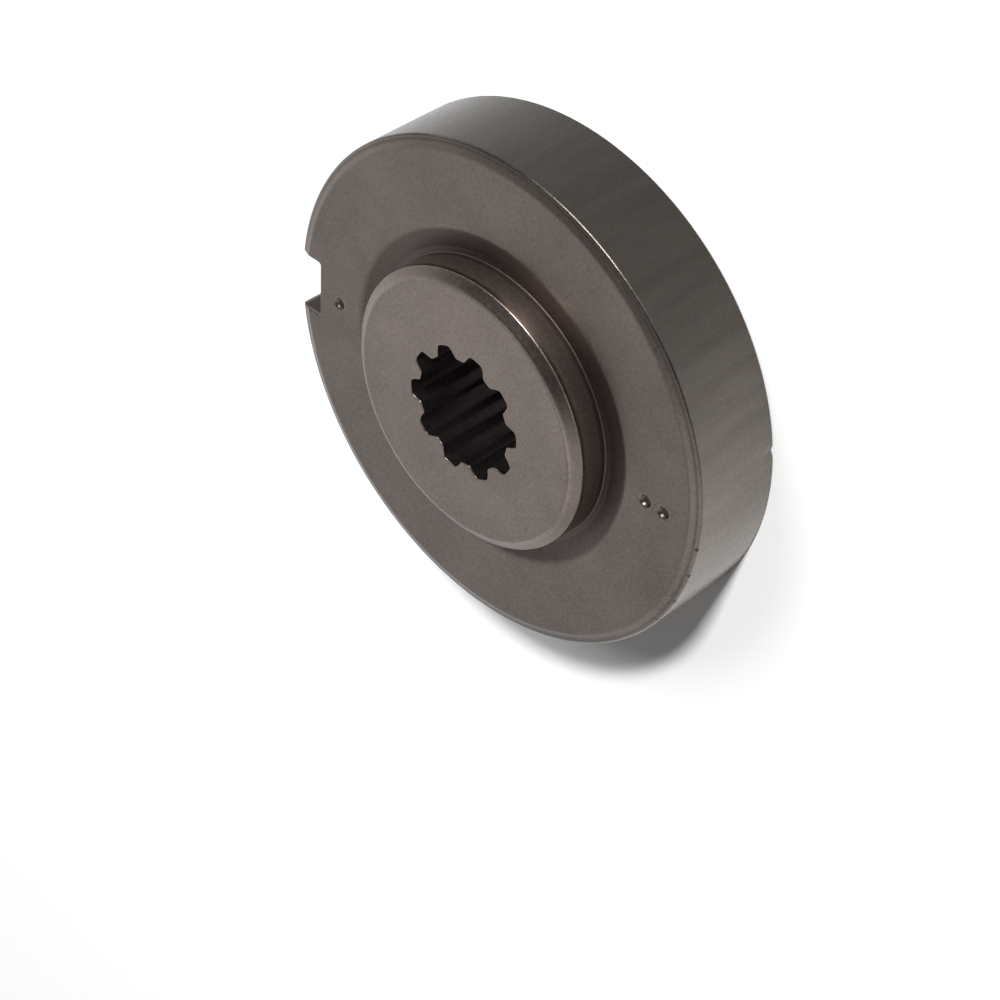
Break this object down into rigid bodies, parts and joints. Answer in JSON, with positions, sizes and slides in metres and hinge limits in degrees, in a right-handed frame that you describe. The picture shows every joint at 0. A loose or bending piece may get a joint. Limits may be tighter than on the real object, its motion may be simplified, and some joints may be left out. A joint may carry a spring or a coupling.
{
  "type": "flange washer",
  "caption": "Round sintered steel flange washer with a raised pilot boss, an involute splined bore and a locking notch in its rim. It drives and centres a brush cutter's blade.",
  "frame": {"origin": "bore axis at the back face, which the washer lies on", "axes": "+Z along the bore axis towards the pilot boss, +X through the middle of a spline groove"},
  "size_m": [0.0454, 0.0454, 0.0118],
  "materials": {
    "sintered_steel": "bare pressed and sintered steel, warm grey, satin, with fine pores and small nicks"
  },
  "bodies": {
    "root": {"flange_washer": "sintered_steel"}
  },
  "joints": []
}
